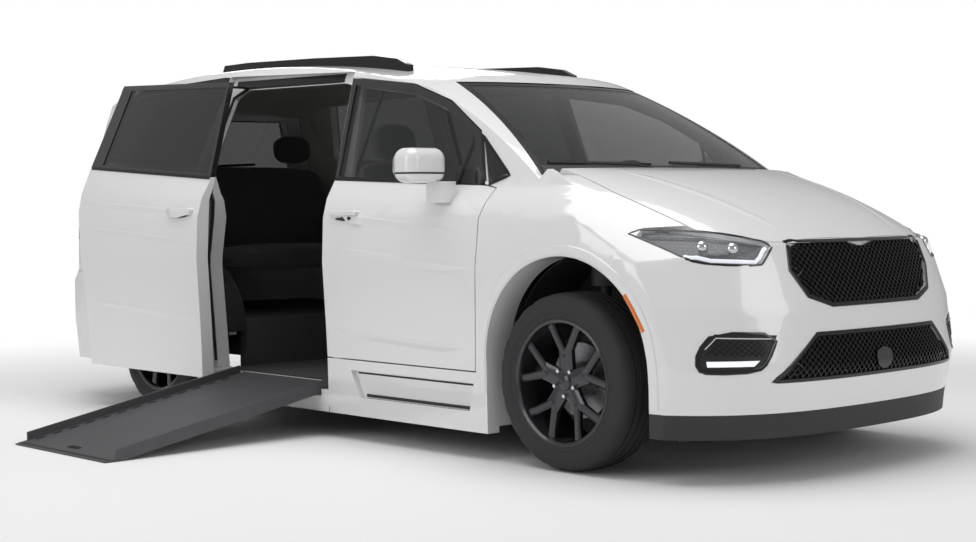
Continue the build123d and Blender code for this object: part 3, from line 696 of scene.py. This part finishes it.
for side, section in (("right", RIDGE), ("left", mirrored(RIDGE))):
    ridges("door_lines_" + side, skin("front_door_" + side), DOOR_LINES, side, section, "front_door_" + side)
    ridges("slider_lines_" + side, skin("sliding_door_" + side), [slid(line, side) for line in SLIDER_LINES],
           side, section)
ridges("hood_lines", skin("hood_panel"), [HOOD_LINE, [(x, -y) for x, y in HOOD_LINE]], "top", HOOD_RIDGE,
       "hood")


def arch_line(x, z, radius):
    """Side-view points round a wheel arch, down to its foot on both sides."""
    turns = [math.pi * index / 28 for index in range(29)]
    curve = [(x + radius * math.cos(turn), z + radius * math.sin(turn)) for turn in turns]
    return [(curve[0][0], ARCH_FOOT), *curve, (curve[-1][0], ARCH_FOOT)]


amber = finish("amber_lens", (0.75, 0.19, 0.02), (0.62, 0.13, 0.015), 120, 0.1, Coat_Weight=1.0)
for side in SIDES:
    carriers = {"front": ("fenders", "front_fascia", "air_dam", "side_skirts"),
                "rear": ("bodyside_" + side, "rear_fascia", "side_skirts")}
    for end, names in carriers.items():
        strip(f"arch_lip_{end}_{side}", laid(skin(*names), arch_line(*ARCHES[end]), side), 0.046, 0.006,
              enamel_lines, sink=0.001)
for side in SIDES:
    marker = laid(skin("fenders", "front_fascia"), MARKER, side, 0.02)
    strip("side_marker_" + side, lifted(marker, 0.003), 0.022, 0.006, amber)

# Door handles
# Each door's skin has a cup pressed in under the painted pull; its shade is painted as a dark patch laid just
# off the skin.
CUP_SHADE_HALF = (0.062, 0.012)
CUP_SHADE_DROP = 0.027
for side in SIDES:
    for door, node, x, z, body in (("front", "front_door_" + side, 0.125, 1.085, "front_door_" + side),
                                   ("slider", "sliding_door_" + side, -0.195 - SLID[side], 1.100, "root")):
        # An oval of painted shade under the handle, where the cup lies in shadow.
        cup_shade = [(x + CUP_SHADE_HALF[0] * math.cos(math.tau * step / 24),
                z - CUP_SHADE_DROP + CUP_SHADE_HALF[1] * math.sin(math.tau * step / 24)) for step in range(24)]
        piece(f"handle_shade_{door}_{side}", *patch(skin(node), cup_shade, side, 6, 12, 0.004), grained_black, body)

# Sill steps
# A dark rubber pad along each step pocket, and a thin black strip of painted shadow where the skirt meets the
# door.
STEP_PAD = [(0.26, 0.222), (0.985, 0.222)]
STEP_SHADOW_LINE = [(0.20, 0.326), (1.010, 0.326)]
skirt_skin = skin("side_skirts")
for side in SIDES:
    strip("step_pad_" + side, laid(skirt_skin, STEP_PAD, side, 0.05), 0.016, 0.004, grained_black)
    # A black strip of painted shadow along the gap between skirt and door.
    strip("step_shadow_line_" + side, laid(skirt_skin, STEP_SHADOW_LINE, side, 0.05), 0.010, 0.002, grained_black)

# Doorway of the open sliding door
# A rubber seal runs round the opening, the black upper track hangs under the cant rail, the end of the
# lower track shows at the sill, and a black cover on the rear jamb houses the latch.
DOORWAY = [(-0.075, 0.300), (-0.100, 1.240), (-0.160, 1.700), (-0.220, 1.742), (-1.020, 1.750),
           (-1.130, 1.700), (-1.162, 1.330), (-1.075, 1.140), (-1.104, 0.800), (-1.066, 0.300)]
JAMB_OUT = 0.60
UPPER_TRACK = [(-1.140, 1.776), (-0.215, 1.764)]
LOWER_TRACK = [(-1.060, 0.262), (-0.900, 0.262)]
LATCH = [(-1.205, 1.130), (-1.150, 1.130), (-1.150, 1.300), (-1.205, 1.300)]
rubber_seal = plastic("door_seal", (0.012, 0.012, 0.012), (0.020, 0.020, 0.020), 0.8, 0.1, 300, 0.2)
jamb_skin = skin("bodyside_right")
seal_run = [(place, normal) for place, normal in laid(jamb_skin, DOORWAY, "right") if abs(place.y) > JAMB_OUT]
strip("doorway_seal", seal_run, 0.016, 0.012, rubber_seal)
band("upper_track", laid(jamb_skin, UPPER_TRACK, "right", 0.04), 0.030, 0.004, gloss_black)
latch_cover = piece("latch_cover", *patch(jamb_skin, LATCH, "right", 8, 4, 0.022), grained_black)
thick = latch_cover.modifiers.new("thick", "SOLIDIFY")
thick.thickness = 0.020
thick.offset = -1
strip("lower_track_end", laid(jamb_skin, LOWER_TRACK, "right", 0.05), 0.016, 0.004, grained_black)

# Cowl and wipers
# A grained black cover closes the foot of the windscreen, and two wiper arms with their blades rest on it.
COWL_EDGE = [(-0.800, 1.272), (0.800, 1.272)]
# name, then the arm's pivot, elbow and tip
WIPERS = [("right", (-0.120, 1.262), (-0.300, 1.292), (-0.740, 1.300)),
          ("left", (0.560, 1.262), (0.400, 1.292), (-0.060, 1.300))]
band("cowl_edge", laid(screen_skin, COWL_EDGE, "front"), 0.052, 0.004, grained_black)
for name, pivot, elbow, tip in WIPERS:
    strip("wiper_arm_" + name, lifted(laid(screen_skin, [pivot, elbow, tip], "front"), 0.004), 0.014, 0.007,
          grained_black)
    blade = [(elbow[0] + 0.10, elbow[1] + 0.002), (tip[0], tip[1] + 0.004)]
    strip("wiper_blade_" + name, laid(screen_skin, blade, "front"), 0.012, 0.010, rubber_seal)

# Mirrors
# Each painted housing has a black seam round its middle and a flat silvered glass that faces rearwards.
MIRROR = (0.755, 1.062, 1.262)
MIRROR_REACH = 0.4
GLASS_X = 0.678
GLASS_Z = 1.297
GLASS_HALF = (0.092, 0.060)
GLASS_THICK = 0.006
SQUARENESS = 0.6
silver = finish("mirror_silver", (0.70, 0.71, 0.72), (0.62, 0.63, 0.64), 40, 0.04, Metallic=1.0)


def squared(value):
    """A sine or cosine bent outwards, so that an oval becomes a rounded oblong."""
    return math.copysign(abs(value) ** SQUARENESS, value)


for side, sign in (("right", -1), ("left", 1)):
    x, y, z = MIRROR[0], sign * MIRROR[1], MIRROR[2]
    turns = [math.tau * step / 28 for step in range(28)]
    points = [Vector((GLASS_X, y + GLASS_HALF[0] * squared(math.cos(turn)),
                      GLASS_Z + GLASS_HALF[1] * squared(math.sin(turn)))) for turn in turns]
    points += [point + Vector((GLASS_THICK, 0, 0)) for point in points]
    count = len(turns)
    faces = [tuple(range(count)), tuple(reversed(range(count, 2 * count)))]
    faces += [(step, (step + 1) % count, count + (step + 1) % count, count + step) for step in range(count)]
    piece("mirror_glass_" + side, points, faces, silver, "front_door_" + side)
    housing = skin("mirror_" + side)
    ring = []
    for step in range(48):
        angle = math.tau * step / 48
        start = Vector((x + MIRROR_REACH * math.cos(angle), y + MIRROR_REACH * math.sin(angle), z))
        place, normal, _, _ = housing.ray_cast(start, (Vector((x, y, z)) - start).normalized())
        ring.append((place, normal))
    strip("mirror_seam_" + side, ring, 0.010, 0.0015, grained_black, "front_door_" + side, closed=True)

# Tyres
# Black rubber with four grooves round the tread, cut shoulders and a fine rim on the sidewall. The wheel
# turns with its body, and the tyre stands in for the plain CAD ring.
AXLE = 1.5445
WHEEL_PLANE = 0.8675
TYRE_RADIUS = 0.3765
# (y, radius) from the bead over the sidewall to the edge of the tread
SIDEWALL = [(-0.1085, 0.257), (-0.1165, 0.272), (-0.1200, 0.290), (-0.1190, 0.292), (-0.1215, 0.296),
            (-0.1225, 0.312), (-0.1205, 0.330), (-0.1175, 0.346), (-0.1120, 0.358), (-0.1010, 0.3675),
            (-0.0875, 0.3725)]
INNER_FACE = [(0.1085, 0.2565), (-0.1085, 0.2565)]
GROOVES = [-0.058, -0.020, 0.020, 0.058]
TREAD_EDGE = 0.0875
CROWN_DROP = 0.004
GROOVE_DEPTH = 0.008
rubber = plastic("tyre_rubber", (0.016, 0.016, 0.016), (0.028, 0.027, 0.026), 0.72, 0.12, 260, 0.35)


def tyre_profile():
    """(y, radius) all round the tyre, with grooves in the tread."""
    profile = list(SIDEWALL)
    for groove in GROOVES:
        crown = TYRE_RADIUS - CROWN_DROP * (abs(groove) / TREAD_EDGE) ** 2
        profile += [(groove - 0.0055, crown), (groove - 0.0045, crown - GROOVE_DEPTH),
                    (groove + 0.0045, crown - GROOVE_DEPTH), (groove + 0.0055, crown)]
    return profile + [(-y, radius) for y, radius in reversed(SIDEWALL)] + INNER_FACE


def revolved(profile, centre, turns, closed, sign=1, shape=None):
    """A profile of (y, radius), outwards from the wheel's middle, turned about its axle."""
    points = []
    faces = []
    count = len(profile)
    for turn in range(turns):
        angle = math.tau * turn / turns
        for y, radius in profile:
            if shape:
                radius = shape(turn, y, radius)
            points.append(centre + Vector((radius * math.cos(angle), sign * y, radius * math.sin(angle))))
    for turn in range(turns):
        after = (turn + 1) % turns
        for step in range(count if closed else count - 1):
            other = (step + 1) % count
            faces.append((turn * count + step, turn * count + other, after * count + other,
                          after * count + step))
    return points, faces


def shoulder_cut(turn, y, radius):
    """Narrow cross cuts in the tyre's shoulders."""
    if turn % 4 == 0 and 0.075 < abs(y) < 0.113 and radius > 0.35:
        return radius - 0.004
    return radius


# Wheels
# Cast alloy in dark grey lacquer: five spokes that fork towards the rim, a plain cap and five bright nuts,
# with an iron brake disc behind.
# Along the wheel's face, out from its middle: (radius, half-width, front y, back y)
STEM = [(0.040, 0.040, 0.088, 0.060), (0.090, 0.037, 0.089, 0.062), (0.135, 0.038, 0.092, 0.066)]
FORK = [(0.105, 0.021, 0.091, 0.064), (0.150, 0.0205, 0.094, 0.068), (0.200, 0.0195, 0.098, 0.074),
        (0.247, 0.023, 0.100, 0.078)]
FORK_START = 0.105
FORK_LENGTH = 0.141
FORK_SPREAD = 0.082
SPOKES = 5
NUT_CIRCLE = 0.057
# Profiles of (y, radius)
BARREL = [(-0.117, 0.246), (0.100, 0.246), (0.113, 0.252), (0.1175, 0.262), (0.1165, 0.2675), (0.1125, 0.268),
          (0.109, 0.2562), (-0.109, 0.2562), (-0.1125, 0.268), (-0.118, 0.268)]
HUB = [(0.062, 0.0), (0.062, 0.068), (0.078, 0.066), (0.086, 0.056), (0.088, 0.036), (0.094, 0.033),
       (0.098, 0.026), (0.099, 0.0)]
DISC = [(-0.012, 0.080), (-0.012, 0.160), (-0.040, 0.160), (-0.040, 0.080)]
DISC_HAT = [(-0.012, 0.0), (-0.012, 0.082), (0.062, 0.078), (0.062, 0.0)]
NUT = [(0.080, 0.0115), (0.091, 0.0105), (0.100, 0.0095), (0.102, 0.006), (0.102, 0.0)]
alloy = finish("dark_alloy", (0.042, 0.043, 0.047), (0.030, 0.031, 0.034), 500, (0.10, 0.24), Metallic=0.6,
               Coat_Weight=0.6)
disc_iron = finish("disc_iron", (0.36, 0.36, 0.37), (0.27, 0.27, 0.28), 300, (0.2, 0.3), Metallic=1.0)


def spoke_bar(points, faces, rows, centre, sign, angle, lean):
    """One bevelled bar of a spoke, from rows of sizes along it."""
    start = len(points)
    outward = Vector((math.cos(angle), 0, math.sin(angle)))
    across = Vector((-math.sin(angle), 0, math.cos(angle)))
    for radius, half, front, back in rows:
        share = max(0.0, (radius - FORK_START) / FORK_LENGTH)
        middle = centre + outward * radius + across * lean * share
        bevel = half * 0.45
        edge = front - 0.006
        for side, depth in ((-half, back), (-half, edge), (-half + bevel, front), (half - bevel, front),
                            (half, edge), (half, back)):
            points.append(middle + across * side + Vector((0, sign * depth, 0)))
    for row in range(len(rows) - 1):
        for step in range(6):
            other = (step + 1) % 6
            here = start + row * 6
            faces.append((here + step, here + other, here + 6 + other, here + 6 + step))
    last = start + (len(rows) - 1) * 6
    faces.append(tuple(start + step for step in range(6)))
    faces.append(tuple(last + step for step in reversed(range(6))))


def joined(points, faces, more_points, more_faces):
    """Adds one mesh to another."""
    start = len(points)
    points += more_points
    faces += [tuple(start + index for index in face) for face in more_faces]


for corner in ("front_left", "front_right", "rear_left", "rear_right"):
    sign = 1 if corner.endswith("left") else -1
    centre = Vector((AXLE if corner.startswith("front") else -AXLE, sign * WHEEL_PLANE, TYRE_RADIUS))
    body = "wheel_" + corner
    made = piece("tyre_dressed_" + corner, *revolved(tyre_profile(), centre, 96, True, shape=shoulder_cut),
                 rubber, body, "tyre_rubber", 50)
    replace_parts(made, "tyre_" + corner)
    points, faces = revolved(BARREL, centre, 96, True, sign)
    nuts = ([], [])
    for spoke in range(SPOKES):
        angle = math.pi / 2 + math.tau * spoke / SPOKES
        spoke_bar(points, faces, STEM, centre, sign, angle, 0.0)
        for lean in (-FORK_SPREAD, FORK_SPREAD):
            spoke_bar(points, faces, FORK, centre, sign, angle, lean)
        between = angle + math.pi / SPOKES
        seat = centre + NUT_CIRCLE * Vector((math.cos(between), 0, math.sin(between)))
        joined(*nuts, *revolved(NUT, seat, 6, False, sign))
    joined(points, faces, *revolved(HUB, centre, 48, False, sign))
    made = piece("rim_dressed_" + corner, points, faces, alloy, body, "wheel_alloy", 30)
    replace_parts(made, "rim_" + corner)
    points, faces = revolved(DISC, centre, 64, True, sign)
    joined(points, faces, *revolved(DISC_HAT, centre, 40, False, sign))
    piece("brake_disc_" + corner, points, faces, disc_iron, body, "wheel_alloy", 30)
    piece("wheel_nuts_" + corner, *nuts, chrome, body, "wheel_alloy", 30)

# Ramp
# A folded alloy tray with a gritted black coat, raised rails along both edges, a row of drain slots beside
# each rail and a hand hole near the tip. The slots and the hole are near-black plates of painted shade.
RAMP_MIDDLE = -0.4785
SLOT_ROWS = (-0.845, -0.112)
SLOTS_A_ROW = 13
SLOT_FIRST = -1.02
SLOT_PITCH = 0.088
RAMP_TIP = [(-0.880, -2.165), (-0.077, -2.165)]
SILL_EDGE = [(-0.870, -0.835), (-0.090, -0.835)]
cover(finish("ramp_coat", (0.075, 0.076, 0.080), (0.100, 0.101, 0.106), 900, (0.3, 0.42), (0.5, 0.0012),
             Metallic=0.3), "ramp")
ramp_skin = skin("ramp")
# Painted shade: the near-black that the slots and the hand hole show as holes.
slot_painted_shade = plastic("slot_shadow", (0.004, 0.004, 0.004), (0.008, 0.008, 0.008), 0.9, 0.05, 200, 0.1)


def stadium(middle, length, width, turns=10):
    """A slot's outline with round ends, its length along y."""
    x, y = middle
    half = (length - width) / 2
    ends = []
    for sign in (1, -1):
        for step in range(turns + 1):
            angle = math.pi * step / turns
            along = half + width / 2 * math.sin(angle)
            ends.append((x + sign * width / 2 * math.cos(angle), y + sign * along))
    return ends


def plate(outline, lift):
    """A thin flat plate on the ramp, from an outline: points and faces."""
    pairs = [laid(ramp_skin, [corner], "top")[0] for corner in outline]
    points = [place + normal * height for height in (lift, -0.001) for place, normal in pairs]
    count = len(pairs)
    faces = [tuple(range(count))]
    faces += [(step, (step + 1) % count, count + (step + 1) % count, count + step) for step in range(count)]
    return points, faces


# Each drain slot is a thin near-black plate of painted shade on the ramp's coat.
slots = ([], [])
for x in SLOT_ROWS:
    for index in range(SLOTS_A_ROW):
        joined(*slots, *plate(stadium((x, SLOT_FIRST - SLOT_PITCH * index), 0.052, 0.018), 0.0012))
piece("ramp_slots", *slots, slot_painted_shade, "ramp")
hole = [(x + RAMP_MIDDLE, y) for y, x in stadium((-2.105, 0.0), 0.105, 0.032)]
piece("ramp_hand_hole", *plate(hole, 0.0006), slot_painted_shade, "ramp")
strip("ramp_tip", laid(ramp_skin, RAMP_TIP, "top", 0.05), 0.020, 0.002,
      plastic("ramp_tip_rubber", (0.02, 0.02, 0.02), (0.03, 0.03, 0.03), 0.7, 0.1, 300, 0.2), "ramp")
strip("ramp_sill_edge", laid(skin("floor_pan"), SILL_EDGE, "top", 0.05), 0.020, 0.003, grained_black)

# Chassis and engine
# Black coated steel with a dusty cast engine block, all seen through the wheel arches and from below.
cover(plastic("chassis_coat", (0.020, 0.020, 0.021), (0.036, 0.034, 0.032), 0.6, 0.15, 60, 0.3),
      "front_structure", "subframe", "rear_axle", "knuckle_left", "knuckle_right")
cover(plastic("cast_block", (0.14, 0.14, 0.145), (0.09, 0.088, 0.085), 0.6, 0.15, 80, 0.5), "engine_block")

# Cabin floor and dashboard
# Grained rubber flooring over the lowered floor, and a soft moulded dashboard with a leather-bound
# steering wheel.
cover(plastic("floor_rubber", (0.050, 0.050, 0.053), (0.072, 0.072, 0.076), 0.75, 0.15, 420, 0.5),
      "floor_pan")
cover(plastic("dash_skin", (0.026, 0.026, 0.028), (0.040, 0.040, 0.042), 0.6, 0.1, 520, 0.4), "dashboard")
cover(plastic("wheel_leather", (0.015, 0.015, 0.016), (0.024, 0.024, 0.025), 0.45, 0.1, 480, 0.4),
      "steering_wheel")

# Tail lamps
# One red lens at each rear corner, under a clear hard coat.
red_lens = finish("tail_lens", (0.42, 0.010, 0.012), (0.32, 0.008, 0.010), 90, 0.08, Coat_Weight=1.0)
cover(red_lens, "tail_lamps")

# Seats
# Foam cushions under dark woven cloth, crowned between their bolsters, with a sewn channel down each
# side and a separate headrest above each back.
THREADS = 160
cloth, get, put = new_group("woven_cloth", ["Threads"], ["Height"])
where = add(cloth, "TexCoord").outputs["Object"]
waves = []
for direction in ("X", "Z"):
    wave = add(cloth, "TexWave", Vector=where, Scale=get["Threads"], Distortion=0.6)
    wave.bands_direction = direction
    waves.append(wave.outputs["Fac"])
feed(cloth, put["Height"], sum_node(cloth, "MAXIMUM", *waves))
seat_cloth, tree, shader = new_material("seat_cloth")
weave = place_group(tree, cloth, Threads=THREADS)["Height"]
feed(tree, shader.inputs["Base Color"],
     blend_colour(tree, weave, (0.028, 0.028, 0.031), (0.062, 0.062, 0.066)))
feed(tree, shader.inputs["Roughness"], sum_node(tree, "MULTIPLY_ADD", weave, -0.15, 0.9))
shader.inputs["Sheen Weight"].default_value = 0.3
relief(tree, shader, weave, 0.4, 0.0008)
SEAM = 0.6
SEAM_DEPTH = 0.010
BOLSTER = 0.82
BOLSTER_RISE = 0.012
CELLS = 24


def cushion(name, corner, size, tilt=0.0, crown=0.03, channels=True, rounding=0.16):
    """A crowned pad with pinched edges and two sewn channels; corner is its low rear middle."""
    across, along, thick = size
    points = []
    for level in (1, -1):
        for row in range(CELLS + 1):
            for column in range(CELLS + 1):
                u = 2 * column / CELLS - 1
                v = 2 * row / CELLS - 1
                pull = (1 - 0.035 * (v * v) * abs(u)) * math.sqrt(1 - rounding * v ** 4)
                reach = v * math.sqrt(1 - rounding * u ** 4)
                fall = (1 - abs(u) ** 6) * (1 - abs(v) ** 6)
                swell = thick / 2 * (0.55 + 0.45 * fall) + crown * (1 - u * u) * (1 - v * v) * (level > 0)
                if channels and level > 0:
                    for seam in (-SEAM, SEAM):
                        swell -= SEAM_DEPTH * math.exp(-((u - seam) / 0.045) ** 2) * fall
                    swell += BOLSTER_RISE * math.exp(-((abs(u) - BOLSTER) / 0.14) ** 2) * fall
                points.append(Vector(((reach + 1) / 2 * along, u * across / 2 * pull,
                                      thick / 2 + level * swell)))
    wide = CELLS + 1
    layer = wide * wide
    faces = []
    for row in range(CELLS):
        for column in range(CELLS):
            a = row * wide + column
            faces.append((a, a + 1, a + wide + 1, a + wide))
            faces.append((layer + a, layer + a + wide, layer + a + wide + 1, layer + a + 1))
    rim = [*range(wide), *(row * wide + CELLS for row in range(1, wide))]
    rim += [CELLS * wide + column for column in reversed(range(CELLS))]
    rim += [row * wide for row in reversed(range(1, CELLS))]
    for first, second in zip(rim, rim[1:] + rim[:1]):
        faces.append((first, layer + first, layer + second, second))
    turned = Matrix.Translation(Vector(corner)) @ Matrix.Rotation(tilt, 4, "Y")
    made = piece(name, [turned @ point for point in points], faces, seat_cloth, "root", "seat_fabric", 60)
    finer = made.modifiers.new("finer", "SUBSURF")
    finer.levels = 1
    finer.render_levels = 1
    return made


def chair(name, x, y, z, width, depth, height):
    """A cushion and a leaning back at one seat's place; returns the cushion."""
    seat = cushion(name + "_cushion", (x, y, z + 0.235), (width, depth, 0.13))
    back_length = math.hypot(height - 0.40, 0.15)
    lean = math.atan2(0.15, height - 0.40)
    cushion(name + "_back", (x + 0.075, y, z + 0.36), (width, back_length + 0.05, 0.10), -math.pi / 2 - lean)
    return seat


def headrest(name, place, size, lean):
    """A small rounded pad above a back."""
    cushion(name, place, size, -math.pi / 2 - lean, 0.02, False, 0.45)


for name, y in (("driver_seat", 0.4), ("passenger_seat", -0.4)):
    seat = chair(name, -0.06, y, 0.25, 0.52, 0.52, 1.09)
    headrest(name + "_headrest", (-0.150, y, 1.352), (0.27, 0.19, 0.085), 0.16)
    if name == "driver_seat":
        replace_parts(seat, "front_seats")
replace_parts(chair("rear_bench", -1.96, 0.0, 0.50, 1.18, 0.50, 0.86), "rear_bench")
for index, y in enumerate((-0.36, 0.36)):
    headrest(f"bench_headrest_{index}", (-2.045, y, 1.385), (0.26, 0.17, 0.08), 0.1)

# Tail
# A wiper on the rear glass, a glossy handle trim over a blank plate in its black surround, and grained
# guards along the top and the foot of the bumper, with a red reflector at each end.
REAR_WIPER = [(0.0, 1.345), (0.18, 1.375), (0.42, 1.385)]
REAR_GLASS = [(-0.560, 1.660), (-0.640, 1.360), (0.640, 1.360), (0.560, 1.660)]
HANDLE_TRIM = [(-0.300, 1.055), (0.300, 1.055)]
PLATE = [(-0.155, 0.855), (0.155, 0.855), (0.155, 1.010), (-0.155, 1.010)]
BUMPER_TOP = [(-0.560, 0.715), (0.560, 0.715)]
BUMPER_FOOT = [(-0.560, 0.330), (0.560, 0.330)]
REFLECTOR = [(-0.560, 0.420), (-0.690, 0.425)]
tail_skin = skin("liftgate_panel", "rear_fascia", "liftgate_glass", "tail_lamps", "bodyside_right",
                 "bodyside_left")
strip("rear_wiper", laid(tail_skin, REAR_WIPER, "rear"), 0.016, 0.014, grained_black, "liftgate")
band("rear_glass_border", laid(tail_skin, grown(REAR_GLASS, 0.012), "rear", 0.03, True), 0.034, 0.003,
     gloss_black, "liftgate", closed=True)
strip("plate_handle", laid(tail_skin, HANDLE_TRIM, "rear", 0.04), 0.032, 0.014, gloss_black, "liftgate")
piece("rear_plate", *patch(tail_skin, PLATE, "rear", 6, 8, 0.004),
      finish("blank_plate", (0.62, 0.62, 0.60), (0.58, 0.58, 0.57), 200, 0.4), "liftgate")
band("plate_recess", laid(tail_skin, grown(PLATE, 0.014), "rear", 0.03, True), 0.012, 0.003, grained_black,
     "liftgate", closed=True)
band("bumper_pad", laid(tail_skin, BUMPER_TOP, "rear", 0.04), 0.036, 0.003, grained_black)
for side, turned in (("right", list), ("left", mirrored)):
    strip("rear_reflector_" + side, laid(tail_skin, turned(REFLECTOR), "rear"), 0.024, 0.005, red_lens)
band("bumper_valance", laid(tail_skin, BUMPER_FOOT, "rear", 0.04), 0.120, 0.003, grained_black)
